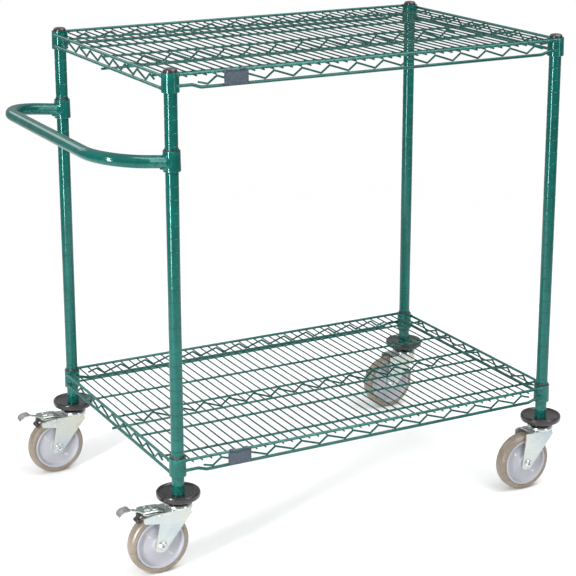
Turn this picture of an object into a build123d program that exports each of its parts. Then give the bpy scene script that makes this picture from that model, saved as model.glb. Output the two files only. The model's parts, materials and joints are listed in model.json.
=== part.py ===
from build123d import *
import math
import os

# Two-shelf wire utility cart. Millimetres, +Z up, the floor at Z = 0.
# +X runs along the cart, away from the push handle. -Y is the labelled front.
# The posts stand at the corners of a rectangle whose centre is (CX, 0).

# ---- driving dimensions -------------------------------------------------
SPAN_X = 873.0            # post centre to post centre, along the cart
SPAN_Y = 571.0            # post centre to post centre, across the cart
POST_R = 12.7             # one-inch post
POST_WALL = 1.6
POST_BOTTOM = 152.0
POST_TOP = 993.0
GROOVE_PITCH = 25.4
GROOVE_DEPTH = 0.5
GROOVE_WIDTH = 2.2
GROOVE_TOP = 933.2        # one of the grooves; the others follow at the pitch

SHELF_Z = {"upper": 957.4, "lower": 195.4}    # underside of the corner collars
COLLAR_H = 38.0
COLLAR_R_TOP = 16.7
COLLAR_R_LOW = 17.3
TAPER_R_TOP = 14.0        # where collar and sleeve meet, at the collar's top
TAPER_R_LOW = 15.1
SLEEVE_UP = {"upper": -2.4, "lower": 5.0}     # sleeve top above the collar's top
SLEEVE_FLUTES = (-45, 0, 45)                  # angles of the flutes that let a sleeve half flex
FLUTE_W = 0.8
FLUTE_DEPTH = 0.3         # into the sleeve's bore
FLUTE_FLOOR = POST_R + 1.0                    # the outer flutes reach in to this radius

TRUSS_OUT = 14.0          # truss plane, outside the post centres
TOP_WIRE_R = 3.0
LOW_WIRE_R = 3.2
SNAKE_R = 2.0
MAT_R = 1.5
ROD_R = 2.4
WELD = 0.02               # gap left where two wires are welded
TOP_RISE = 34.0           # front and back top wire above the collar's underside
LOW_RISE = 7.0
JOGGLE = 6.0              # the front and back low wires rise by this at the collars
MAT_GAPS = 45
MAT_OVER = 2.8            # mat wire ends past the truss plane
SNAKE_STEEP = 18.5        # run of the snake's steep leg
SNAKE_STUB = 20.0         # run of the snake's two cut ends
SNAKE_BEND = 3.4
ROD_COUNT = 5

HANDLE_Z = 826.0          # handle tube axis at its collars
HANDLE_OUT = 139.5        # from the post centres to the grip's axis
HANDLE_LIFT = 15.0
HANDLE_BEND = 90.0
HANDLE_R = 12.5
HANDLE_WALL = 1.8
HANDLE_COLLAR_Z = 808.0
HANDLE_COLLAR_H = 40.0

BUMPER_R = 44.0
WHEEL_R = 63.5
WHEEL_W = 32.0
TRAIL = 45.5              # axle behind the swivel axis
CORE_R = 51.0
FORK_IN = 19.5            # inner face of a fork leg, from the wheel's middle
FORK_T = 3.0
CROWN_Z = 129.0
RACE_TOP = 143.6
RACE_R = 28.0
KINGPIN_R = 6.0
AXLE_R = 5.0
BUSHING_R = 7.58
RUN_FIT = 0.05            # radial clearance of the running fits
HEAD_R = 8.6              # axle bolt head and nut
SOCKET_R = 2.8            # socket in the bolt head
PIN_X = -49.0             # brake pivot, from the swivel axis
PIN_Z = 127.2
PIN_R = 2.5

LABEL_SIZE = (50.0, 2.4, 28.0)
LABEL_X = 127.0           # label centre, from the left posts' centre line

# ---- places worked out from them ----------------------------------------
BOX_LEFT = -SPAN_X / 2 - HANDLE_OUT - HANDLE_R
BOX_RIGHT = SPAN_X / 2 + BUMPER_R
CX = -(BOX_LEFT + BOX_RIGHT) / 2
MAT_PITCH = (SPAN_X + 2 * TRUSS_OUT) / MAT_GAPS
SNAKE_PITCH = 3 * MAT_PITCH
MAT_RISE = TOP_RISE - TOP_WIRE_R - MAT_R - WELD
ROD_RISE = MAT_RISE - MAT_R - ROD_R - WELD
SIDE_RISE = ROD_RISE + ROD_R + TOP_WIRE_R + WELD
SNAKE_HIGH = MAT_RISE - MAT_R - SNAKE_R - WELD
SNAKE_LOW = LOW_RISE + LOW_WIRE_R + SNAKE_R + WELD
CORNERS = {
    "front_left": (CX - SPAN_X / 2, -SPAN_Y / 2),
    "back_left": (CX - SPAN_X / 2, SPAN_Y / 2),
    "front_right": (CX + SPAN_X / 2, -SPAN_Y / 2),
    "back_right": (CX + SPAN_X / 2, SPAN_Y / 2),
}
BRAKED = ("front_left", "back_left")


# ---- helpers -------------------------------------------------------------
def save(name, solids):
    """Writes one node: one solid, or a group of separate ones."""
    solids = list(solids)
    shape = solids[0] if len(solids) == 1 else Compound(children=solids)
    export_step(shape, f"parts/{name}.step")


def spun(points):
    """A solid of revolution about Z from a closed outline of (radius, height)."""
    outline = make_face(Polyline([(r, 0, z) for r, z in points], close=True))
    return revolve(outline, Axis.Z)


def bar(start, end, radius):
    """A straight round wire from start to end."""
    start, end = Vector(*start), Vector(*end)
    run = end - start
    place = Plane(origin=start, z_dir=run.normalized())
    return place * Cylinder(radius, run.length, align=(Align.CENTER, Align.CENTER, Align.MIN))


def bent(points, radius, bends, wall=0.0):
    """A round wire, or a tube where it has a wall, along straight runs joined by arcs."""
    path = FilletPolyline(*points, radius=bends)
    ends = Plane(origin=path @ 0, z_dir=path % 0)
    section = Circle(radius) - Circle(radius - wall) if wall else Circle(radius)
    return sweep(ends * section, path=path)


def solids_of(shape):
    return list(shape.solids())


def turned(shape):
    """The same piece on the opposite side: half a turn about the cart's middle."""
    return shape.rotate(Axis((CX, 0, 0), (0, 0, 1)), 180)


def at_corners(make):
    return [make(name).moved(Location((x, y, 0))) for name, (x, y) in CORNERS.items()]


# ---- posts ---------------------------------------------------------------
def post():
    """A grooved tube with one ring groove for every inch of its height."""
    count_up = math.floor((POST_TOP - 6 - GROOVE_TOP) / GROOVE_PITCH)
    count_down = math.floor((GROOVE_TOP - POST_BOTTOM - 20) / GROOVE_PITCH)
    outline = [(POST_R - POST_WALL, POST_BOTTOM), (POST_R, POST_BOTTOM)]
    for i in range(-count_down, count_up + 1):
        z = GROOVE_TOP + i * GROOVE_PITCH
        outline += [
            (POST_R, z - GROOVE_WIDTH / 2),
            (POST_R - GROOVE_DEPTH, z - GROOVE_WIDTH / 5),
            (POST_R - GROOVE_DEPTH, z + GROOVE_WIDTH / 5),
            (POST_R, z + GROOVE_WIDTH / 2),
        ]
    outline += [(POST_R, POST_TOP), (POST_R - POST_WALL, POST_TOP)]
    return spun(outline)


def cap():
    """A domed plastic cap whose plug sits in the post's bore."""
    plug = POST_R - POST_WALL - 0.02
    return spun([
        (0, POST_TOP - 12), (plug, POST_TOP - 12), (plug, POST_TOP), (13.5, POST_TOP),
        (13.5, POST_TOP + 4.5), (12.6, POST_TOP + 7.6), (10.4, POST_TOP + 9.4), (7, POST_TOP + 10),
        (0, POST_TOP + 10),
    ])


# ---- shelves -------------------------------------------------------------
def taper_ring(z, height, inner_top, inner_low, outer_top, outer_low):
    return spun([(inner_low, z), (outer_low, z), (outer_top, z + height), (inner_top, z + height)])


def collar(z, height):
    """A tapered collar, welded to the wires and wedged on the sleeve."""
    ring = taper_ring(z, height, TAPER_R_TOP, TAPER_R_LOW, COLLAR_R_TOP, COLLAR_R_LOW)
    return chamfer(ring.edges().filter_by(GeomType.CIRCLE).sort_by(SortBy.RADIUS)[-1:], 0.8)


def sleeve_halves(z, height, peek):
    """The two halves of a split sleeve between a post and a collar."""
    slope = (TAPER_R_LOW - TAPER_R_TOP) / height
    low, top = z + 1.0, z + height + peek
    outer_low = TAPER_R_LOW - slope * 1.0 - WELD
    outer_top = TAPER_R_TOP - slope * peek - WELD
    ring = taper_ring(low, top - low, POST_R + WELD, POST_R + WELD, outer_top, outer_low)
    slit = Box(4 * POST_R, 1.0, 2 * COLLAR_H + top, align=(Align.CENTER, Align.CENTER, Align.MIN))
    ring -= slit
    for angle in SLEEVE_FLUTES:
        tall = 2 * COLLAR_H + top
        ring -= Rot(0, 0, angle) * Box(FLUTE_W, 2 * (POST_R + FLUTE_DEPTH), 2 * tall)
        for side in (-1, 1):
            ring -= Rot(0, 0, angle) * Location((0, side * (FLUTE_FLOOR + 5), 0)) * Box(FLUTE_W, 10, 2 * tall)
    return solids_of(ring)


def corner_cut(z):
    """What the four collars take up, to trim the wires that are welded to them."""
    cone = Cone(COLLAR_R_LOW, COLLAR_R_TOP, COLLAR_H, align=(Align.CENTER, Align.CENTER, Align.MIN))
    return [Location((x, y, z)) * cone for x, y in CORNERS.values()]


def trimmed(wire, cuts):
    for cut in cuts:
        wire = wire - cut
    return max(solids_of(wire), key=lambda s: s.volume)


def top_wires(z, cuts):
    """Front, back, left and right wires between the collars at deck level."""
    x0, x1 = CX - SPAN_X / 2 + 5, CX + SPAN_X / 2 - 5
    y_front = -SPAN_Y / 2 - TRUSS_OUT
    x_left = CX - SPAN_X / 2 - TRUSS_OUT
    y0, y1 = -SPAN_Y / 2 + 5, SPAN_Y / 2 - 5
    front = trimmed(bar((x0, y_front, z + TOP_RISE), (x1, y_front, z + TOP_RISE), TOP_WIRE_R), cuts)
    left = trimmed(bar((x_left, y0, z + SIDE_RISE), (x_left, y1, z + SIDE_RISE), TOP_WIRE_R), cuts)
    return [front, turned(front), left, turned(left)]


def low_wires(z, cuts):
    """The trusses' bottom wires; front and back ones joggle up to the collars."""
    left_x, right_x = CX - SPAN_X / 2, CX + SPAN_X / 2
    y = -SPAN_Y / 2 - TRUSS_OUT
    high, low = z + LOW_RISE + JOGGLE, z + LOW_RISE
    route = [
        (left_x + 5, y, high), (left_x + 38, y, high), (left_x + 56, y, low),
        (right_x - 46, y, low), (right_x - 22, y, high), (right_x - 5, y, high),
    ]
    front = trimmed(bent(route, LOW_WIRE_R, 14.0), cuts)
    x = left_x - TRUSS_OUT
    left = trimmed(bar((x, -SPAN_Y / 2 + 5, low), (x, SPAN_Y / 2 - 5, low), LOW_WIRE_R), cuts)
    return [front, turned(front), left, turned(left)]


def snake_route(first_top, count, low, high):
    """Distance and height along a truss: a skewed zigzag with both ends cut short."""
    rise = high - low
    shallow = SNAKE_PITCH - SNAKE_STEEP
    part = SNAKE_STUB / shallow
    points = [(first_top - SNAKE_STEEP - SNAKE_STUB, low + rise * part * 0.75)]
    for i in range(count):
        top = first_top + i * SNAKE_PITCH
        points += [(top - SNAKE_STEEP, low), (top, high)]
    points.append((top + SNAKE_STUB, high - rise * part))
    return points


def snakes(z):
    y = -SPAN_Y / 2 - TRUSS_OUT
    x = CX - SPAN_X / 2 - TRUSS_OUT
    long_run = snake_route(CX - 348.0, 13, z + SNAKE_LOW, z + SNAKE_HIGH)
    short_run = snake_route(-197.0, 8, z + SNAKE_LOW, z + SNAKE_HIGH)
    front = bent([(s, y, h) for s, h in long_run], SNAKE_R, SNAKE_BEND)
    left = bent([(x, -s, h) for s, h in short_run], SNAKE_R, SNAKE_BEND)
    return [front, turned(front), left, turned(left)]


def mat_wires(z):
    """The deck: thin wires across the cart, side by side."""
    wires = []
    for i in range(1, MAT_GAPS):
        x = CX - SPAN_X / 2 - TRUSS_OUT + i * MAT_PITCH
        reach = SPAN_Y / 2 + TRUSS_OUT + MAT_OVER
        if i in (1, MAT_GAPS - 1):
            reach = SPAN_Y / 2 - COLLAR_R_LOW + 0.6
        wires.append(bar((x, -reach, z + MAT_RISE), (x, reach, z + MAT_RISE), MAT_R))
    return wires


def rod_rows():
    """Where the rods lie across the cart: equal spaces, half a space at the ends."""
    space = (SPAN_Y + 2 * TRUSS_OUT) / ROD_COUNT
    return [(i - (ROD_COUNT - 1) / 2) * space for i in range(ROD_COUNT)]


def support_rods(z):
    reach = SPAN_X / 2 + TRUSS_OUT + 2.5
    return [
        bar((CX - reach, y, z + ROD_RISE), (CX + reach, y, z + ROD_RISE), ROD_R)
        for y in rod_rows()
    ]


def centre_truss(z):
    """The stiffener under the middle rod: a second rod and the snake between them."""
    low = z + LOW_RISE - LOW_WIRE_R - ROD_R - WELD
    reach = SPAN_X / 2 + TRUSS_OUT + 7.0
    rod = bar((CX - reach, 0, low), (CX + reach, 0, low), ROD_R)
    foot = low + ROD_R + SNAKE_R + WELD
    head = z + ROD_RISE - ROD_R - SNAKE_R - WELD
    run = snake_route(CX - 366.0, 13, foot, head)
    return [rod, bent([(s, 0, h) for s, h in run], SNAKE_R, SNAKE_BEND)]


def label(z):
    """A blank label holder that clips over the front truss's top wire."""
    x = CX - SPAN_X / 2 + LABEL_X
    wide, thick, tall = LABEL_SIZE
    y_wire = -SPAN_Y / 2 - TRUSS_OUT
    face = y_wire - LOW_WIRE_R - 0.3
    middle = z + (TOP_RISE + TOP_WIRE_R + LOW_RISE - LOW_WIRE_R) / 2
    plate = Location((x, face - thick / 2, middle)) * Box(wide, thick, tall)
    plate = fillet(plate.edges().filter_by(Axis.Y), 3.0)
    ring = Cylinder(TOP_WIRE_R + 1.8, 9.0) - Cylinder(TOP_WIRE_R + 0.1, 9.0)
    hook = Rot(0, 90, 0) * ring - Pos(0, 0, -20 - 1.0) * Box(40, 40, 40)
    for side in (-1, 1):
        plate = plate + Location((x + side * wide * 0.3, y_wire, z + TOP_RISE)) * hook
    return plate.solids().sort_by(SortBy.VOLUME)[-1]


def shelf(level):
    z = SHELF_Z[level]
    cuts = corner_cut(z)
    save(f"{level}_collars", at_corners(lambda name: collar(z, COLLAR_H)))
    save(f"{level}_top_wires", top_wires(z, cuts))
    save(f"{level}_bottom_wires", low_wires(z, cuts))
    save(f"{level}_snake_wires", snakes(z))
    save(f"{level}_mat_wires", mat_wires(z))
    save(f"{level}_support_rods", support_rods(z))
    save(f"{level}_centre_truss", centre_truss(z))
    save(f"{level}_label_holder", [label(z)])
    halves = []
    for x, y in CORNERS.values():
        halves += [h.moved(Location((x, y, 0))) for h in sleeve_halves(z, COLLAR_H, SLEEVE_UP[level])]
    save(f"{level}_split_sleeves", halves)


# ---- handle --------------------------------------------------------------
def handle():
    """One bent tube that rises gently to the grip, ends butted on its collars."""
    x_post, x_grip = CX - SPAN_X / 2, CX - SPAN_X / 2 - HANDLE_OUT
    y = SPAN_Y / 2
    high = HANDLE_Z + HANDLE_LIFT
    route = [(x_post, -y, HANDLE_Z), (x_grip, -y, high), (x_grip, y, high), (x_post, y, HANDLE_Z)]
    tube = bent(route, HANDLE_R, HANDLE_BEND, HANDLE_WALL)
    for side in (-1, 1):
        clear = Location((x_post, side * y, HANDLE_COLLAR_Z)) * Cone(
            COLLAR_R_LOW, COLLAR_R_TOP, HANDLE_COLLAR_H, align=(Align.CENTER, Align.CENTER, Align.MIN)
        )
        tube = tube - clear
    return max(solids_of(tube), key=lambda s: s.volume)


def handle_parts():
    save("push_handle", [handle()])
    places = [CORNERS[name] for name in BRAKED]
    collars, halves = [], []
    for x, y in places:
        spot = Location((x, y, 0))
        collars.append(collar(HANDLE_COLLAR_Z, HANDLE_COLLAR_H).moved(spot))
        halves += [h.moved(spot) for h in sleeve_halves(HANDLE_COLLAR_Z, HANDLE_COLLAR_H, 3.5)]
    save("handle_collars", collars)
    save("handle_split_sleeves", halves)


# ---- casters -------------------------------------------------------------
def bumper():
    """A round rubber bumper, dished on top, that the post stands in."""
    bore = POST_R - POST_WALL + 0.05
    return spun([
        (bore, 149), (24, 149), (40, 150.2), (43, 152), (BUMPER_R, 155), (BUMPER_R, 160.5),
        (42.6, 163), (40, 164), (36, 163.2), (24, 158.6), (POST_R + 0.05, 158), (POST_R + 0.05, POST_BOTTOM),
        (bore, POST_BOTTOM),
    ])


def stem():
    """The caster's fixed stem: kingpin head, shoulder and the plug in the post."""
    plug = POST_R - POST_WALL - 0.05
    race_floor = CROWN_Z - 0.4
    return spun([
        (0, 123.6), (9, 123.6), (9, race_floor), (KINGPIN_R, race_floor), (KINGPIN_R, RACE_TOP + 0.8),
        (19, RACE_TOP + 0.8), (19, 149), (plug, 149), (plug, 188), (plug - 2, 192), (0, 192),
    ])


def leg_outline(braked):
    """Side view of a fork leg, behind the swivel axis towards -X."""
    nose = [(-50, 110.5), (-80, 115.5), (-82.5, 118), (-83.5, 127.5), (-60, 131)]
    plain = [(-52, 112), (-51, 129)]
    return [
        (16, CROWN_Z + FORK_T), (19.5, 122), (-32, 60), (-36, 53.6), (-42, 50.2), (-50, 50),
        (-57.5, 52.5), (-59.5, 57), *(nose if braked else plain), (-48, CROWN_Z + FORK_T),
    ]


def fork(braked):
    """A pressed fork: a crown over the wheel and a leg down each side."""
    outer = FORK_IN + FORK_T
    axle_x = -TRAIL
    side = make_face(Polyline([(x, 0, z) for x, z in leg_outline(braked)], close=True))
    leg = extrude(side, amount=FORK_T, dir=(0, -1, 0))
    legs = leg.moved(Location((0, -FORK_IN, 0))) + leg.moved(Location((0, FORK_IN + FORK_T, 0)))
    crown_outline = make_face(Polyline([
        (-39, -outer, 0), (16, -outer, 0), (24, -14, 0), (27.5, 0, 0), (24, 14, 0), (16, outer, 0),
        (-39, outer, 0), (-36, 14, 0), (-36, -14, 0),
    ], close=True))
    crown = extrude(crown_outline, amount=FORK_T).moved(Location((0, 0, CROWN_Z)))
    body = crown + legs
    body -= Location((0, 0, CROWN_Z)) * Cylinder(KINGPIN_R + RUN_FIT, 20)
    body -= Location((axle_x, 0, WHEEL_R)) * Rot(90, 0, 0) * Cylinder(AXLE_R, 80)
    if braked:
        body -= Location((PIN_X, 0, PIN_Z)) * Rot(90, 0, 0) * Cylinder(PIN_R, 80)
    return body.solids().sort_by(SortBy.VOLUME)[-1]


def raceway():
    """The bright pressed cup over the ball race, fixed on the fork's crown."""
    z = CROWN_Z + FORK_T + WELD
    return spun([
        (KINGPIN_R + RUN_FIT, z), (RACE_R - 1, z), (RACE_R, z + 1), (RACE_R, z + 3), (26.8, z + 4.4),
        (25.4, z + 5.2), (24.6, z + 8.4), (21, z + 11), (KINGPIN_R + RUN_FIT, z + 11),
    ])


def wheel_core():
    """The lavender-grey wheel centre: rim, dished web and hub."""
    half = WHEEL_W / 2
    outline = [
        (BUSHING_R + 0.02, half + 1.6), (15, half + 1.6), (21, half + 0.4), (25, half - 4),
        (41, half - 5), (45.5, half - 1.2), (CORE_R, half - 1.2),
    ]
    mirror = [(r, -z) for r, z in reversed(outline)]
    return Rot(90, 0, 0) * spun(outline + mirror)


def tread():
    """The soft tyre, moulded round the core."""
    half = WHEEL_W / 2
    side = [
        (CORE_R + WELD, half - 1.2), (54, half - 0.6), (58, half - 1.8), (61.4, half - 5),
        (63.1, half - 10), (WHEEL_R, 4),
    ]
    return Rot(90, 0, 0) * spun(side + [(a, -b) for a, b in reversed(side)])


def bushing():
    """The plain bearing in the hub, a little longer than the hub."""
    half = WHEEL_W / 2 + 2.6
    return Rot(90, 0, 0) * spun([
        (AXLE_R + RUN_FIT, -half), (BUSHING_R, -half), (BUSHING_R, half), (AXLE_R + RUN_FIT, half),
    ])


def axle():
    """The axle bolt: a socket head outside one leg and a nut outside the other."""
    seat = FORK_IN + FORK_T + 0.1
    shank = AXLE_R - 0.02
    bolt = Rot(90, 0, 0) * spun([
        (0, -seat - 8.9), (shank, -seat - 8.9), (shank, seat), (HEAD_R, seat), (HEAD_R, seat + 2.3),
        (7, seat + 4.1), (SOCKET_R + 0.4, seat + 4.9), (SOCKET_R, seat + 4.5), (SOCKET_R, seat + 1.5),
        (0, seat + 1.5),
    ])
    hexagon = extrude(RegularPolygon(HEAD_R, 6), amount=6.4) - Cylinder(shank + 0.03, 20)
    nut = Location((0, seat, 0)) * Rot(-90, 0, 0) * hexagon
    return [bolt, nut.solids()[0]]


def brake_lever():
    """The pressed lever over the wheel, its side flanges and the foot paddle."""
    half = FORK_IN - 1.2
    plate_route = make_face(Polyline([
        (-41, 0, 134.2), (-60, 0, 136.2), (-86, 0, 136.2), (-100, 0, 139.5), (-108, 0, 145), (-124, 0, 143),
        (-128, 0, 136), (-129.6, 0, 136.6), (-125.2, 0, 145.4), (-107.6, 0, 147.6), (-98.6, 0, 142),
        (-85.6, 0, 138.8), (-60, 0, 138.8), (-41, 0, 136.8),
    ], close=True))
    plate = extrude(plate_route, amount=2 * half, dir=(0, -1, 0)).moved(Location((0, half, 0)))
    narrow = 11.0
    for side in (-1, 1):
        y = side * (narrow + (half - narrow) / 2)
        plate -= Location((-98, y, 142)) * Box(22, half - narrow, 30)
    flange = make_face(Polyline([
        (-42, 0, 134), (-42, 0, PIN_Z - 3), (-58, 0, PIN_Z - 3), (-84, 0, 134), (-84, 0, 137), (-60, 0, 137),
    ], close=True))
    wall = extrude(flange, amount=2.0, dir=(0, -1, 0))
    plate += wall.moved(Location((0, -half + 2.0, 0)))
    plate += wall.moved(Location((0, half, 0)))
    plate -= Location((PIN_X, 0, PIN_Z)) * Rot(90, 0, 0) * Cylinder(PIN_R + RUN_FIT, 80)
    return plate.solids().sort_by(SortBy.VOLUME)[-1]


def brake_shoe():
    """The black rubber shoe under the lever, just clear of the tread."""
    outline = make_face(Polyline([
        (-77, 0, 136.0), (-85.6, 0, 136.0), (-91, 0, 121), (-94.5, 0, 116.5), (-91.5, 0, 114.0),
        (-85.5, 0, 118.5), (-81, 0, 122.5), (-79, 0, 127),
    ], close=True))
    half = 13.0
    return extrude(outline, amount=2 * half, dir=(0, -1, 0)).moved(Location((0, half, 0)))


def brake_pins():
    """Two short rivets that the lever turns on, one in each fork leg."""
    inner_end = FORK_IN - 3.3
    seat = FORK_IN + FORK_T - inner_end + 0.1
    rivet = spun([
        (0, 0), (PIN_R - 0.02, 0), (PIN_R - 0.02, seat), (4.0, seat), (3.0, seat + 1.4), (0, seat + 1.7),
    ])
    return [Location((PIN_X, side * inner_end, PIN_Z)) * Rot(-90 * side, 0, 0) * rivet for side in (-1, 1)]


def caster(name, x, y):
    braked = name in BRAKED
    spot = Location((x, y, 0))
    hub = Location((x - TRAIL, y, WHEEL_R))
    save(f"fork_{name}", [fork(braked).moved(spot)])
    save(f"raceway_{name}", [raceway().moved(spot)])
    save(f"axle_{name}", [piece.moved(hub) for piece in axle()])
    save(f"wheel_core_{name}", [wheel_core().moved(hub)])
    save(f"tread_{name}", [tread().moved(hub)])
    save(f"bushing_{name}", [bushing().moved(hub)])
    if braked:
        save(f"brake_lever_{name}", [brake_lever().moved(spot)])
        save(f"brake_shoe_{name}", [brake_shoe().moved(spot)])
        save(f"brake_pins_{name}", [pin.moved(spot) for pin in brake_pins()])


def main():
    os.makedirs("parts", exist_ok=True)
    for name, (x, y) in CORNERS.items():
        save(f"post_{name}", [post().moved(Location((x, y, 0)))])
        caster(name, x, y)
    save("post_caps", at_corners(lambda name: cap()))
    save("bumpers", at_corners(lambda name: bumper()))
    save("caster_stems", at_corners(lambda name: stem()))
    for level in SHELF_Z:
        shelf(level)
    handle_parts()


main()
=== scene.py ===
import json
import math

import bmesh
import bpy
from mathutils import Matrix, Vector


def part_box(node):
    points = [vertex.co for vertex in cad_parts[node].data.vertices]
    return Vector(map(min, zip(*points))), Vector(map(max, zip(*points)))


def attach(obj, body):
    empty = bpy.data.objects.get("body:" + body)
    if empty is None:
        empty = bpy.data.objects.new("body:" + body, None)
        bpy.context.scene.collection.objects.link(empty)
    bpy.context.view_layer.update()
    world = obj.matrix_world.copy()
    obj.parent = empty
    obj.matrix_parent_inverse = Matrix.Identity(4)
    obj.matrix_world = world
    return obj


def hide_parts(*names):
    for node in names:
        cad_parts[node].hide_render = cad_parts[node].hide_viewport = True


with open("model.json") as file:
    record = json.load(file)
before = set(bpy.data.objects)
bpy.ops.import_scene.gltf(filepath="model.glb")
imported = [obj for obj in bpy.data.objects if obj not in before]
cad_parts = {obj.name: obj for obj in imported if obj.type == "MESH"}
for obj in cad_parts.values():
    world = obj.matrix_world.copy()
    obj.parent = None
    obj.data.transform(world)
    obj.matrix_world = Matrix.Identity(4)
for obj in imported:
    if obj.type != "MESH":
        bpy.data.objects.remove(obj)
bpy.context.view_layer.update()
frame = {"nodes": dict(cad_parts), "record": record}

# The frame is in metres: +X runs along the cart away from the push handle, -Y is the labelled
# front and Z is up from the floor. Outlines and sizes of pieces below are in millimetres.
NODES = frame["nodes"]
CORNERS = ("front_left", "back_left", "front_right", "back_right")
HANDLE_END = ("front_left", "back_left")     # the corners with the push handle and the brakes
LEVELS = ("upper", "lower")
MM = 0.001


# ---- node materials ------------------------------------------------------
WEAR_SCALE = 180.0
WEAR_EDGE = (0.53, 0.62)        # pointiness at which an edge starts and ends to be rubbed
WEAR_PATCHES = (0.42, 0.62)     # noise that breaks the rubbed edges up
NOISE_RANGE = (0.3, 0.7)        # where nearly all of the noise texture's values lie
GLOSS_TO_GRAIN = 0.31           # the gloss varies more broadly than the relief


def node(tree, kind, **inputs):
    """Adds a shader node and sets its plain inputs."""
    made = tree.nodes.new(kind)
    for key, value in inputs.items():
        made.inputs[key.replace("_", " ")].default_value = value
    return made


def noise(tree, coords, scale):
    made = node(tree, "ShaderNodeTexNoise", Scale=scale, Detail=3.0, Roughness=0.55)
    tree.links.new(coords, made.inputs["Vector"])
    return made.outputs["Fac"]


def ramp(tree, factor, stops):
    """Colours through (position, colour) stops."""
    made = tree.nodes.new("ShaderNodeValToRGB")
    elements = made.color_ramp.elements
    for element, (place, colour) in zip(list(elements), (stops[0], stops[-1])):
        element.position = place
        element.color = (*colour, 1)
    for place, colour in stops[1:-1]:
        elements.new(place).color = (*colour, 1)
    tree.links.new(factor, made.inputs["Fac"])
    return made.outputs["Color"]


def spread(tree, value, source, target=(0.0, 1.0)):
    """Carries a value from one range to another, held inside the second."""
    made = node(
        tree, "ShaderNodeMapRange",
        From_Min=source[0], From_Max=source[1], To_Min=target[0], To_Max=target[1],
    )
    tree.links.new(value, made.inputs["Value"])
    return made


def bump(tree, height, strength, distance, after=None):
    made = node(tree, "ShaderNodeBump", Strength=strength, Distance=distance)
    tree.links.new(height, made.inputs["Height"])
    if after:
        tree.links.new(after, made.inputs["Normal"])
    return made.outputs["Normal"]


def edge_wear(tree, coords):
    """How much an outward edge is rubbed, broken up by noise."""
    geometry = tree.nodes.new("ShaderNodeNewGeometry")
    edge = spread(tree, geometry.outputs["Pointiness"], WEAR_EDGE)
    patches = spread(tree, noise(tree, coords, WEAR_SCALE), WEAR_PATCHES)
    both = tree.nodes.new("ShaderNodeMath")
    both.operation = "MULTIPLY"
    tree.links.new(edge.outputs["Result"], both.inputs[0])
    tree.links.new(patches.outputs["Result"], both.inputs[1])
    return both.outputs[0]


def worn(tree, factor, colour, wear):
    """The colour, giving way to the wear colour by a factor."""
    made = tree.nodes.new("ShaderNodeMix")
    made.data_type = "RGBA"
    tree.links.new(factor, made.inputs[0])
    tree.links.new(colour, made.inputs[6])
    made.inputs[7].default_value = (*wear, 1)
    return made.outputs[2]


def material(name, scale, stops, rough, grain, wear, fine=None, **plain):
    """A surface whose colour, roughness and relief all vary over it.

    stops are colours over a noise of that scale; rough is (low, high); grain and fine are reliefs of
    (scale, strength, distance); wear is the colour of rubbed edges; plain are shader sockets.
    """
    made = bpy.data.materials.new(name)
    made.use_nodes = True
    tree = made.node_tree
    shader = tree.nodes["Principled BSDF"]
    for key, value in plain.items():
        shader.inputs[key.replace("_", " ")].default_value = value
    coords = tree.nodes.new("ShaderNodeTexCoord").outputs["Object"]
    colour = ramp(tree, noise(tree, coords, scale), stops)
    colour = worn(tree, edge_wear(tree, coords), colour, wear)
    tree.links.new(colour, shader.inputs["Base Color"])
    gloss = spread(tree, noise(tree, coords, grain[0] * GLOSS_TO_GRAIN), NOISE_RANGE, rough)
    tree.links.new(gloss.outputs["Result"], shader.inputs["Roughness"])
    relief = bump(tree, noise(tree, coords, grain[0]), grain[1], grain[2])
    if fine:
        relief = bump(tree, noise(tree, coords, fine[0]), fine[1], fine[2], relief)
    tree.links.new(relief, shader.inputs["Normal"])
    return made


# Coated wire and tube: the same green, with painted shade: a darker copy on the wires and the darkest on
# the decks.
GREEN = material(
    "green_epoxy", 24.0,
    [(0.3, (0.0, 0.078, 0.064)), (0.55, (0.0, 0.098, 0.081)), (0.75, (0.002, 0.118, 0.098))],
    rough=(0.10, 0.17), grain=(480.0, 0.03, 0.0002), fine=(1900.0, 0.02, 0.0001), wear=(0.02, 0.20, 0.17),
    Metallic=0.2, Specular_IOR_Level=0.32, Coat_Weight=0.25, Coat_Roughness=0.05,
)
# painted shade: the same green epoxy, darkened for the wires, truss and rods
GREEN_WIRE_PAINTED_SHADE = material(
    "green_epoxy_wire_painted_shade", 40.0,
    [(0.3, (0.0, 0.060, 0.049)), (0.55, (0.0, 0.080, 0.066)), (0.75, (0.002, 0.100, 0.083))],
    rough=(0.14, 0.24), grain=(700.0, 0.04, 0.0002), wear=(0.02, 0.17, 0.14),
    Metallic=0.2, Specular_IOR_Level=0.3, Coat_Weight=0.15, Coat_Roughness=0.08,
)
# painted shade: the same green epoxy, darkened most for the deck mats
GREEN_MAT_PAINTED_SHADE = material(
    "green_epoxy_mat_painted_shade", 40.0,
    [(0.3, (0.0, 0.020, 0.016)), (0.55, (0.0, 0.030, 0.025)), (0.75, (0.001, 0.042, 0.035))],
    rough=(0.28, 0.40), grain=(700.0, 0.04, 0.0002), wear=(0.01, 0.08, 0.065), Specular_IOR_Level=0.14,
)

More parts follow.
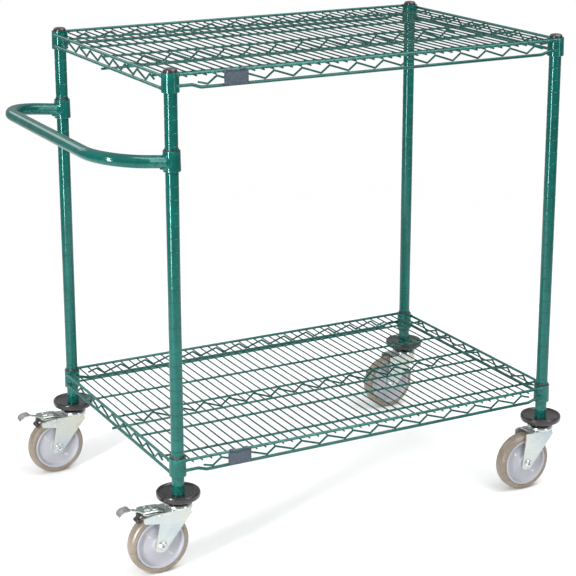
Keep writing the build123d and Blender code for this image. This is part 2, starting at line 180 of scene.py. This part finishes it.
# Steel of the casters and brakes.
ZINC = material(
    "bright_zinc", 14.0,
    [(0.3, (0.44, 0.50, 0.53)), (0.5, (0.52, 0.56, 0.54)), (0.7, (0.58, 0.57, 0.49))],
    rough=(0.24, 0.42), grain=(240.0, 0.06, 0.0004), fine=(2400.0, 0.06, 0.0001), wear=(0.86, 0.87, 0.86),
    Metallic=0.75,
)
ZINC_GLOSS = material(
    "polished_zinc", 45.0,
    [(0.3, (0.46, 0.50, 0.53)), (0.6, (0.60, 0.62, 0.61))],
    rough=(0.16, 0.28), grain=(320.0, 0.03, 0.0002), wear=(0.9, 0.9, 0.9), Metallic=1.0,
)
LEVER_STEEL = material(
    "lever_steel", 60.0,
    [(0.3, (0.30, 0.34, 0.33)), (0.55, (0.44, 0.48, 0.45)), (0.75, (0.58, 0.61, 0.56))],
    rough=(0.22, 0.42), grain=(300.0, 0.08, 0.0004), wear=(0.75, 0.77, 0.74), Metallic=0.9,
)
PADDLE_STEEL = material(
    "paddle_steel", 90.0,
    [(0.3, (0.22, 0.22, 0.23)), (0.6, (0.34, 0.34, 0.35))],
    rough=(0.35, 0.55), grain=(500.0, 0.12, 0.0004), wear=(0.6, 0.6, 0.6), Metallic=0.7,
)

# Rubber and plastics.
TREAD = material(
    "taupe_polyurethane", 22.0,
    [(0.3, (0.180, 0.146, 0.110)), (0.55, (0.205, 0.168, 0.128)), (0.75, (0.232, 0.192, 0.148))],
    rough=(0.22, 0.40), grain=(160.0, 0.08, 0.0005), fine=(1500.0, 0.06, 0.0002), wear=(0.42, 0.36, 0.29),
    Coat_Weight=0.25, Coat_Roughness=0.2,
)
CORE = material(
    "lavender_core", 28.0,
    [(0.3, (0.330, 0.330, 0.365)), (0.6, (0.370, 0.370, 0.405)), (0.8, (0.410, 0.410, 0.445))],
    rough=(0.30, 0.46), grain=(300.0, 0.06, 0.0003), wear=(0.68, 0.68, 0.72),
)
RUBBER = material(
    "bumper_rubber", 28.0,
    [(0.3, (0.008, 0.006, 0.007)), (0.55, (0.013, 0.010, 0.012)), (0.78, (0.021, 0.017, 0.019))],
    rough=(0.20, 0.34), grain=(420.0, 0.10, 0.0004), fine=(90.0, 0.05, 0.0008), wear=(0.15, 0.13, 0.14),
    Coat_Weight=0.3, Coat_Roughness=0.12,
)
CAP = material(
    "cap_plastic", 70.0,
    [(0.3, (0.012, 0.008, 0.008)), (0.7, (0.034, 0.022, 0.022))],
    rough=(0.22, 0.38), grain=(800.0, 0.12, 0.0002), wear=(0.22, 0.17, 0.16),
    Coat_Weight=0.4, Coat_Roughness=0.2,
)
BLACK = material(
    "black_plastic", 80.0,
    [(0.3, (0.006, 0.006, 0.006)), (0.7, (0.018, 0.018, 0.018))],
    rough=(0.35, 0.55), grain=(900.0, 0.15, 0.0002), wear=(0.10, 0.10, 0.10),
)
LABEL = material(
    "label_holder", 25.0,
    [(0.3, (0.030, 0.042, 0.056)), (0.6, (0.035, 0.049, 0.065)), (0.8, (0.040, 0.055, 0.073))],
    rough=(0.42, 0.50), grain=(300.0, 0.02, 0.0001), wear=(0.10, 0.13, 0.16), Specular_IOR_Level=0.3,
)
LABEL_CARD = material(
    "label_card", 70.0,
    [(0.3, (0.050, 0.066, 0.084)), (0.7, (0.060, 0.078, 0.098))],
    rough=(0.40, 0.55), grain=(1400.0, 0.05, 0.0001), wear=(0.12, 0.15, 0.18), Specular_IOR_Level=0.3,
)
NYLON = material(
    "white_nylon", 90.0,
    [(0.3, (0.62, 0.62, 0.58)), (0.7, (0.72, 0.72, 0.69))],
    rough=(0.35, 0.5), grain=(700.0, 0.08, 0.0002), wear=(0.8, 0.8, 0.78),
)
SLOT_LOOKS = {
    "green_epoxy": GREEN, "cap_plastic": CAP, "sleeve_plastic": BLACK, "label_plastic": LABEL,
    "bumper_rubber": RUBBER, "stem_steel": BLACK, "zinc_plate": ZINC, "shoe_rubber": BLACK,
    "core_plastic": CORE, "tread_polyurethane": TREAD, "bushing_nylon": NYLON,
}


def dress_frame():
    """Gives every CAD node its procedural material."""
    for part in frame["record"]["subparts"]:
        name = part["node"]
        look = SLOT_LOOKS[part["material_slot"]]
        if any(word in name for word in ("wires", "rods", "truss")):
            # wires, truss and rods take the green's darker painted-shade copy, the deck mats the darkest
            # one
            look = GREEN_MAT_PAINTED_SHADE if "mat_wires" in name else GREEN_WIRE_PAINTED_SHADE
        mesh = NODES[name].data
        mesh.materials.clear()
        mesh.materials.append(look)


# ---- mesh helpers --------------------------------------------------------
def piece(name, bm, look, body, replaced=(), angle=35.0):
    """Turns a bmesh into a finished piece that rides on a body."""
    bmesh.ops.recalc_face_normals(bm, faces=bm.faces)
    mesh = bpy.data.meshes.new(name)
    bm.to_mesh(mesh)
    bm.free()
    mesh.materials.append(look)
    mesh.shade_smooth()
    mesh.set_sharp_from_angle(angle=math.radians(angle))
    made = bpy.data.objects.new(name, mesh)
    bpy.context.scene.collection.objects.link(made)
    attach(made, body)
    if replaced:
        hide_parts(*replaced)


def middle(name):
    low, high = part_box(name)
    return (low + high) / 2


def post_foot(corner):
    """The point on the floor under a post's axis."""
    post = middle(f"post_{corner}")
    return Vector((post.x, post.y, 0.0))


def around(steps):
    """Evenly spaced angles of one full turn."""
    return [2 * math.pi * k / steps for k in range(steps)]


def skin(bm, rings, looped=False):
    """Faces between neighbouring rings of vertices; a ring of one vertex is a pole."""
    steps = max(len(ring) for ring in rings)
    following = rings[1:] + rings[:1] if looped else rings[1:]
    for first, second in zip(rings, following):
        for i in range(steps):
            j = (i + 1) % steps
            quad = [ring[k % len(ring)] for ring, k in ((first, i), (first, j), (second, j), (second, i))]
            corners = list(dict.fromkeys(quad))
            if len(corners) > 2:
                bm.faces.new(corners)


def lathe(bm, profile, centre, turn=Matrix.Identity(3), steps=96):
    """Spins a closed outline of (radius, height) about its local Z."""
    rings = []
    for r, z in profile:
        angles = around(steps if r > 0 else 1)
        spots = [Vector((r * math.cos(a), r * math.sin(a), z)) * MM for a in angles]
        rings.append([bm.verts.new(centre + turn @ spot) for spot in spots])
    skin(bm, rings, looped=True)


def slab(bm, place, outline, y0, y1, rim=0.4):
    """A plate with eased edges: an outline of (x, z) between two planes of constant y."""
    mid = Vector((sum(x for x, _ in outline), sum(z for _, z in outline))) / len(outline)
    rings = []
    for y, shrink in ((y0, rim), (y0 + rim, 0.0), (y1 - rim, 0.0), (y1, rim)):
        ring = []
        for x, z in outline:
            inward = (mid - Vector((x, z))).normalized() * shrink
            ring.append(bm.verts.new(place + Vector((x + inward.x, y, z + inward.y)) * MM))
        rings.append(ring)
    skin(bm, rings)
    bm.faces.new(rings[0])
    bm.faces.new(list(reversed(rings[-1])))


def pressed_sheet(bm, place, length, width, height, thick, steps_x, steps_t):
    """A pressed sheet: width and height are functions of the way along and across it."""
    start, end = length
    layers = []
    for drop in (0.0, thick):
        rows = []
        for i in range(steps_x + 1):
            x = start + (end - start) * i / steps_x
            across = [-1.0 + 2.0 * j / steps_t for j in range(steps_t + 1)]
            spots = [Vector((x, t * width(x), height(x, t) - drop)) * MM for t in across]
            rows.append([bm.verts.new(place + spot) for spot in spots])
        layers.append(rows)
    top, low = layers
    for i in range(steps_x):
        for j in range(steps_t):
            for rows in layers:
                bm.faces.new((rows[i][j], rows[i + 1][j], rows[i + 1][j + 1], rows[i][j + 1]))
        for j in (0, steps_t):
            bm.faces.new((top[i][j], top[i + 1][j], low[i + 1][j], low[i][j]))
    for j in range(steps_t):
        for i in (0, steps_x):
            bm.faces.new((top[i][j], top[i][j + 1], low[i][j + 1], low[i][j]))


def rounded(points, radii, steps=5):
    """A closed outline with its corners rounded: radii is one number or one for each corner."""
    straight = math.radians(178)     # a corner as open as this stays a plain point
    longest = 0.45                   # how much of a side one corner's rounding may use
    count = len(points)
    out = []
    for i, point in enumerate(points):
        r = radii[i] if isinstance(radii, (list, tuple)) else radii
        here = Vector(point)
        before, after = Vector(points[i - 1]) - here, Vector(points[(i + 1) % count]) - here
        if r <= 0 or before.angle(after) > straight:
            out.append(here)
            continue
        back = min(r / math.tan(before.angle(after) / 2), before.length * longest, after.length * longest)
        a, b = here + before.normalized() * back, here + after.normalized() * back
        for k in range(steps + 1):
            t = k / steps
            out.append(a * (1 - t) ** 2 + here * 2 * t * (1 - t) + b * t ** 2)
    return [(p.x, p.y) for p in out]


def mirrored(half):
    """A half outline of (radius, height) and its reflection in height 0."""
    return [*half, *[(r, -z) for r, z in reversed(half) if z > 0]]


def glide(x, stops):
    """Reads a smooth curve through (x, value) stops."""
    for (x0, v0), (x1, v1) in zip(stops, stops[1:]):
        if x <= x1:
            t = min(max((x - x0) / (x1 - x0), 0.0), 1.0)
            return v0 + (v1 - v0) * t * t * (3 - 2 * t)
    return stops[-1][1]


def raised(x, low, high, edge=1.6):
    """1 inside a pressed panel from low to high, easing to 0 over its edge."""
    return glide(x, [(low - edge, 0.0), (low, 1.0)]) * glide(x, [(high, 1.0), (high + edge, 0.0)])


# ---- casters -------------------------------------------------------------
FORK_ROLL = 1.1          # how far the fork's pressed edges are rolled over
SHARP = 28.0             # degrees at which two faces of the fork meet in an edge
NEARLY_FLAT = 0.6        # degrees below which its flat faces are joined into one


def pressed_fork(corner):
    """The CAD fork with its sharp edges rolled over by a bevel."""
    source = f"fork_{corner}"      # the CAD node, and the body of the same name
    bm = bmesh.new()
    bm.from_mesh(NODES[source].data)
    bmesh.ops.remove_doubles(bm, verts=bm.verts, dist=1e-6)
    bmesh.ops.dissolve_limit(bm, angle_limit=math.radians(NEARLY_FLAT), verts=bm.verts, edges=bm.edges)
    sharp = [e for e in bm.edges if len(e.link_faces) == 2 and e.calc_face_angle(0) > math.radians(SHARP)]
    bmesh.ops.bevel(
        bm, geom=sharp, offset=FORK_ROLL * MM, offset_type="OFFSET", segments=3, profile=0.5,
        affect="EDGES", clamp_overlap=True,
    )
    piece(f"pressed_fork_{corner}", bm, ZINC, source, (source,), angle=40.0)


def wheel(corner):
    """Tread and dished core of one wheel, spun about the axle."""
    body = f"wheel_{corner}"
    hub = middle(f"tread_{corner}")
    turn = Matrix.Rotation(math.radians(90), 3, "X")
    side = [
        (51.1, 14.6), (53.2, 15.3), (56.0, 15.2), (59.0, 13.6), (61.4, 10.8), (62.8, 7.4), (63.35, 3.8),
        (63.5, 0),
    ]
    bm = bmesh.new()
    lathe(bm, rounded(mirrored(side), 1.6, steps=4), hub, turn, steps=128)
    piece(f"smooth_tread_{corner}", bm, TREAD, body, (f"tread_{corner}",))
    face = [
        (7.62, 17.2), (13.6, 17.2), (15.4, 16.2), (17.0, 13.4), (19.5, 12.6), (24.0, 11.4), (33.0, 9.8),
        (40.0, 9.4), (43.6, 10.4), (45.6, 13.6), (47.2, 15.3), (50.0, 15.3), (51.0, 14.4),
    ]
    bm = bmesh.new()
    lathe(bm, rounded(mirrored(face), 1.2, steps=3), hub, turn, steps=112)
    piece(f"dished_core_{corner}", bm, CORE, body, (f"wheel_core_{corner}",))


def race_cup(corner):
    """The bright race cup with its rolled lip and shoulder."""
    source = f"raceway_{corner}"
    centre = middle(source)
    centre.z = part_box(source)[0].z
    section = [
        (6.2, 0.0), (27.4, 0.0), (28.0, 1.0), (28.0, 3.4), (27.2, 6.2), (25.2, 8.6), (22.0, 10.3),
        (17.5, 11.0), (6.2, 11.0),
    ]
    bm = bmesh.new()
    lathe(bm, rounded(section, 1.0, steps=4), centre)
    piece(f"race_cup_{corner}", bm, ZINC_GLOSS, f"fork_{corner}", (source,))


# Stations of the brake along X from the post's axis: the lever narrows to a neck that carries the paddle.
LEVER_NECK = -106.0
LEVER_HEEL = -41.0
LEVER_HALF_WIDTH = 18.3
LEVER_SHEET = 2.2
CHEEK_SHEET = 2.0
PADDLE_TIP = -129.4
PADDLE_ROOT = -105.0
PADDLE_SHEET = 2.6
PADDLE_RIBS = (-122.5, -117.5, -112.5)
STRAP_HALF_WIDTH = 7.0
SHOE_HALF_WIDTH = 9.5


def lever_plate(corner):
    """The brake's pressed lever with two raised panels, a groove and a cheek on each side."""
    def width(x):
        return glide(x, [
            (LEVER_NECK, 4.6), (-88.0, 5.4), (-83.0, 15.5), (-79.0, LEVER_HALF_WIDTH),
            (LEVER_HEEL, LEVER_HALF_WIDTH),
        ])

    def height(x, t):
        base = glide(x, [
            (LEVER_NECK, 146.0), (-98.0, 141.8), (-86.0, 138.8), (-60.0, 138.4), (LEVER_HEEL, 136.8),
        ])
        panels = raised(x, -77.0, -66.0) * raised(abs(t), -1.0, 0.50, 0.12) * 2.6
        panels += raised(x, -60.0, -46.5) * raised(abs(t), -1.0, 0.62, 0.12) * 1.9
        groove = raised(x, -73.5, -69.5, 1.0) * raised(abs(t), -1.0, 0.24, 0.1) * 2.2
        rolled = 2.2 * glide(abs(t), [(0.84, 0.0), (1.0, 1.0)]) * glide(x, [(-84.0, 0.0), (-80.0, 1.0)])
        return base + panels - groove - rolled

    place = post_foot(corner)
    bm = bmesh.new()
    pressed_sheet(bm, place, (LEVER_NECK, LEVER_HEEL), width, height, LEVER_SHEET, steps_x=90, steps_t=40)
    cheek = [(-42.2, 135.0), (-42.2, 124.6), (-57.6, 124.4), (-82.6, 133.4), (-82.6, 136.4), (-60, 136.8)]
    outline = rounded(cheek, 2.0, steps=4)
    slab(bm, place, outline, -LEVER_HALF_WIDTH, CHEEK_SHEET - LEVER_HALF_WIDTH)
    slab(bm, place, outline, LEVER_HALF_WIDTH - CHEEK_SHEET, LEVER_HALF_WIDTH)
    replaced = (f"brake_lever_{corner}",)
    piece(f"pressed_lever_{corner}", bm, LEVER_STEEL, f"brake_{corner}", replaced)


def foot_paddle(corner):
    """The ribbed paddle at the lever's end."""
    def width(x):
        return glide(x, [
            (PADDLE_TIP, 8.6), (-127.4, 11.4), (-124.0, 12.2), (-109.0, 11.8), (-106.5, 10.4),
            (PADDLE_ROOT, 7.5),
        ])

    def height(x, t):
        base = glide(x, [
            (PADDLE_TIP, 137.4), (-126.0, 142.6), (-119.0, 146.2), (-110.0, 147.8), (PADDLE_ROOT, 146.6),
        ])
        ribs = sum(raised(x, at - 0.8, at + 0.8, 0.8) for at in PADDLE_RIBS)
        return base + 0.7 * ribs * raised(abs(t), -1.0, 0.72, 0.12)

    bm = bmesh.new()
    length = (PADDLE_TIP, PADDLE_ROOT)
    pressed_sheet(bm, post_foot(corner), length, width, height, PADDLE_SHEET, steps_x=44, steps_t=30)
    piece(f"foot_paddle_{corner}", bm, PADDLE_STEEL, f"brake_{corner}")


def brake_shoe(corner):
    """The strap under the lever and the wedge of rubber that meets the tread."""
    place = post_foot(corner)
    strap = [(-79.6, 136.4), (-83.4, 136.6), (-91.0, 121.4), (-88.4, 119.8)]
    pad = [(-85.8, 123.4), (-91.4, 122.0), (-94.3, 117.6), (-92.2, 114.4), (-86.2, 118.6), (-83.6, 121.2)]
    bm = bmesh.new()
    slab(bm, place, rounded(strap, 0.6, steps=3), -STRAP_HALF_WIDTH, STRAP_HALF_WIDTH)
    slab(bm, place, rounded(pad, 0.9, steps=3), -SHOE_HALF_WIDTH, SHOE_HALF_WIDTH, rim=0.8)
    piece(f"rubber_shoe_{corner}", bm, BLACK, f"brake_{corner}", (f"brake_shoe_{corner}",))


def caster(corner):
    """Fork, wheel, race cup and axle of one caster, and its brake at the handle's end."""
    pressed_fork(corner)
    wheel(corner)
    race_cup(corner)
    NODES[f"axle_{corner}"].data.materials[0] = ZINC_GLOSS
    if corner in HANDLE_END:
        lever_plate(corner)
        foot_paddle(corner)
        brake_shoe(corner)


# ---- bumpers and caps ----------------------------------------------------
def bumpers():
    """Round bumpers under the posts: a dish with a thick rolled rim."""
    section = [
        (11.2, 0.0), (23.5, 0.0), (38.5, 0.6), (42.6, 2.4), (44.0, 6.0), (44.0, 12.2), (42.4, 15.0),
        (39.2, 15.0), (37.0, 12.6), (30.0, 10.6), (19.0, 9.2), (12.76, 9.0), (12.76, 3.1), (11.2, 3.1),
    ]
    outline = rounded(section, [0.3, 2, 3, 3, 3, 2.4, 1.6, 2.0, 2.5, 6, 4, 0.5, 0, 0])
    bm = bmesh.new()
    for corner in CORNERS:
        foot = post_foot(corner)
        foot.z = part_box("bumpers")[0].z
        lathe(bm, outline, foot, steps=112)
    piece("rubber_bumpers", bm, RUBBER, "frame", ("bumpers",))


def caps():
    """Domed caps with a plug that enters the post."""
    section = [
        (0.0, -8.0), (10.9, -8.0), (10.9, 0.02), (13.5, 0.02), (13.5, 3.4), (12.9, 6.6), (10.6, 9.0),
        (5.5, 9.9), (0.0, 10.0),
    ]
    outline = rounded(section, [0, 0.5, 0.2, 0.3, 2, 2.5, 3, 4, 0], steps=4)
    bm = bmesh.new()
    for corner in CORNERS:
        top = post_foot(corner)
        top.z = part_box(f"post_{corner}")[1].z
        lathe(bm, outline, top, steps=64)
    piece("domed_caps", bm, CAP, "frame", ("post_caps",))


# ---- welds and labels ----------------------------------------------------
WELD_REACH = 10.2                  # a rim wire's weld, from the post's axis along the wire
WELD_PLANE = 14.0                  # and out from the post's axis to the wire
WELD_LONG, WELD_OUT, WELD_TALL = 5.0, 3.9, 4.0
RIM_HEIGHTS_X = (33.6, 13.0)       # rim wires along X, above the collar's foot
RIM_HEIGHTS_Y = (30.8, 7.4)        # rim wires along Y
FLARE_Z = 0.826                    # metres: where the handle tube's axis would meet the post's
TUBE_R = 12.5
HANDLE_COLLAR_R = 17.1             # the handle's tapered collar at about that height


def bead(bm, centre, size, phase, steps=18):
    """One lumpy weld bead of three half sizes."""
    layers = steps // 2
    rings = []
    for i in range(layers + 1):
        tilt = math.pi * i / layers
        ring = []
        for turn in around(steps if 0 < i < layers else 1):
            lump = 1 + 0.07 * math.sin(3 * turn + phase) * math.sin(tilt)
            lump += 0.05 * math.sin(5 * tilt + 2 * phase)
            way = (math.sin(tilt) * math.cos(turn), math.sin(tilt) * math.sin(turn), math.cos(tilt))
            ring.append(bm.verts.new(centre + Vector(a * b for a, b in zip(way, size)) * lump * MM))
        rings.append(ring)
    skin(bm, rings)


def weld_beads():
    """Beads where the rim wires meet the collars."""
    bm = bmesh.new()
    for level in LEVELS:
        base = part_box(f"{level}_collars")[0].z
        for index, corner in enumerate(CORNERS):
            foot = post_foot(corner)
            inward_x = 1 if "left" in corner else -1
            inward_y = 1 if "front" in corner else -1
            along_x = Vector((inward_x * WELD_REACH, -inward_y * WELD_PLANE, 0))
            along_y = Vector((-inward_x * WELD_PLANE, inward_y * WELD_REACH, 0))
            spots = [(rise, along_x, (WELD_LONG, WELD_OUT, WELD_TALL)) for rise in RIM_HEIGHTS_X]
            spots += [(rise, along_y, (WELD_OUT, WELD_LONG, WELD_TALL)) for rise in RIM_HEIGHTS_Y]
            for rise, off, size in spots:
                bead(bm, Vector((foot.x, foot.y, base + rise * MM)) + off * MM, size, index + rise)
    piece("weld_beads", bm, GREEN, "frame")


def handle_flares():
    """The weld that flares from each end of the handle's tube onto its round collar."""
    # (out from the tube's surface, along X from the collar's surface)
    section = [(-0.6, -6.4), (0.25, -6.0), (0.7, -3.2), (1.7, -1.3), (3.4, -0.35), (3.3, 0.6), (-0.6, 0.9)]
    bm = bmesh.new()
    for corner in HANDLE_END:
        centre = post_foot(corner)
        centre.z = FLARE_Z
        rings = []
        for turn in around(72):
            ring = []
            for out, along in section:
                y, z = (TUBE_R + out) * math.cos(turn), (TUBE_R + out) * math.sin(turn)
                x = along - math.sqrt(HANDLE_COLLAR_R ** 2 - y * y)
                ring.append(bm.verts.new(centre + Vector((x, y, z)) * MM))
            rings.append(ring)
        skin(bm, rings, looped=True)
    piece("handle_flares", bm, GREEN, "frame")


def labels():
    """A blank card on the face of each label holder, sunk a little into it."""
    wide, tall, rise = 22.0, 10.5, 14.0      # half width, half height, centre above the holder's foot
    proud, sunk = 0.35, 0.3
    outline = rounded([(-wide, -tall), (wide, -tall), (wide, tall), (-wide, tall)], 3.0, steps=6)
    for level in LEVELS:
        low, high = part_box(f"{level}_label_holder")
        place = Vector(((low.x + high.x) / 2, low.y, low.z + rise * MM))
        bm = bmesh.new()
        slab(bm, place, outline, -proud, sunk, rim=0.12)
        piece(f"{level}_blank_card", bm, LABEL_CARD, "frame")


# ---- stage ---------------------------------------------------------------
FLOOR_RADIUS = 3.4           # metres
FLOOR_FADE = (1.1, 3.2)      # metres from the middle over which the floor fades away
# name, place and height aimed at on the cart's axis in metres, width, height, watts
LIGHTS = (
    ("left_strip", (-2.6, -1.3, 1.0), 0.55, 0.22, 2.4, 88),
    ("right_box", (1.6, -3.6, 1.6), 0.5, 0.9, 2.6, 30),
    ("top_box", (1.2, -0.9, 3.4), 0.4, 2.6, 2.2, 78),
    ("back_box", (-1.5, 3.2, 2.6), 0.4, 2.0, 1.6, 18),
)
# the surround's light by how high it comes from: 0 straight below, 0.5 level, 1 straight above
SURROUND = (
    (0.45, (0.30, 0.31, 0.32)), (0.56, (0.34, 0.35, 0.36)), (0.70, (0.55, 0.56, 0.57)),
    (0.95, (0.85, 0.85, 0.85)),
)
# the camera: degrees from +X towards +Y, degrees above level, degrees of roll, lens in mm
HEADING, PITCH, ROLL = 62.05, -15.60, -0.052
LENS, LENS_SHIFT = 107.29, -0.08
STAND_X, STAND_Y, STAND_Z = -1.7090, -3.1460, 1.5426     # metres from the posts' centre on the floor


def floor():
    """A pale disc that fades out at its edge."""
    bm = bmesh.new()
    bmesh.ops.create_circle(bm, cap_ends=True, segments=96, radius=FLOOR_RADIUS)
    mesh = bpy.data.meshes.new("floor")
    bm.to_mesh(mesh)
    bm.free()
    made = bpy.data.objects.new("floor", mesh)
    bpy.context.scene.collection.objects.link(made)
    look = bpy.data.materials.new("pale_floor")
    look.use_nodes = True
    tree = look.node_tree
    shader = tree.nodes["Principled BSDF"]
    shader.inputs["Base Color"].default_value = (0.95, 0.95, 0.95, 1)
    shader.inputs["Roughness"].default_value = 0.6
    shader.inputs["Specular IOR Level"].default_value = 0.1
    reach = tree.nodes.new("ShaderNodeVectorMath")
    reach.operation = "LENGTH"
    tree.links.new(tree.nodes.new("ShaderNodeTexCoord").outputs["Object"], reach.inputs[0])
    fade = spread(tree, reach.outputs["Value"], FLOOR_FADE, (1.0, 0.0))
    fade.interpolation_type = "SMOOTHSTEP"
    tree.links.new(fade.outputs["Result"], shader.inputs["Alpha"])
    mesh.materials.append(look)


def surround():
    """White to the camera, and a softer sky that brightens upwards to everything else."""
    world = bpy.data.worlds.new("surround")
    world.use_nodes = True
    tree = world.node_tree
    white = tree.nodes["Background"]
    white.inputs["Color"].default_value = (1.0, 1.0, 1.0, 1)
    white.inputs["Strength"].default_value = 1.0
    sky = tree.nodes.new("ShaderNodeBackground")
    height = tree.nodes.new("ShaderNodeSeparateXYZ")
    tree.links.new(tree.nodes.new("ShaderNodeTexCoord").outputs["Generated"], height.inputs[0])
    lift = spread(tree, height.outputs["Z"], (-1.0, 1.0))
    tree.links.new(ramp(tree, lift.outputs["Result"], SURROUND), sky.inputs["Color"])
    seen = tree.nodes.new("ShaderNodeMixShader")
    tree.links.new(tree.nodes.new("ShaderNodeLightPath").outputs["Is Camera Ray"], seen.inputs[0])
    tree.links.new(sky.outputs[0], seen.inputs[1])
    tree.links.new(white.outputs[0], seen.inputs[2])
    tree.links.new(seen.outputs[0], tree.nodes["World Output"].inputs["Surface"])
    bpy.context.scene.world = world


def lights():
    """Soft rectangular lamps that the camera doesn't see."""
    for name, place, aim_z, width, height, watts in LIGHTS:
        data = bpy.data.lights.new(name, "AREA")
        data.shape = "RECTANGLE"
        data.size, data.size_y, data.energy = width, height, watts
        lamp = bpy.data.objects.new(name, data)
        lamp.location = place
        lamp.rotation_euler = (Vector((0, 0, aim_z)) - Vector(place)).to_track_quat("-Z", "Y").to_euler()
        lamp.visible_camera = False
        bpy.context.scene.collection.objects.link(lamp)


def camera():
    """Stands front left of the cart, aimed a little down."""
    heading, pitch, roll = math.radians(HEADING), math.radians(PITCH), math.radians(ROLL)
    level = math.cos(pitch)
    forward = Vector((level * math.cos(heading), level * math.sin(heading), math.sin(pitch)))
    right = forward.cross(Vector((0, 0, 1))).normalized()
    up = right.cross(forward)
    tilted = right * math.cos(roll) + up * math.sin(roll)
    upright = up * math.cos(roll) - right * math.sin(roll)
    data = bpy.data.cameras.new("camera")
    data.sensor_width = 36.0
    data.lens = LENS
    data.shift_y = LENS_SHIFT
    data.clip_end = 60.0
    made = bpy.data.objects.new("camera", data)
    centre = (post_foot("front_left") + post_foot("back_right")) / 2
    basis = Matrix((tilted, upright, -forward)).transposed()
    made.matrix_world = Matrix.Translation(centre + Vector((STAND_X, STAND_Y, STAND_Z))) @ basis.to_4x4()
    bpy.context.scene.collection.objects.link(made)
    bpy.context.scene.camera = made


def main():
    bpy.context.scene.view_settings.view_transform = "Standard"
    camera()
    dress_frame()
    for corner in CORNERS:
        caster(corner)
    bumpers()
    caps()
    weld_beads()
    handle_flares()
    labels()
    floor()
    surround()
    lights()


main()
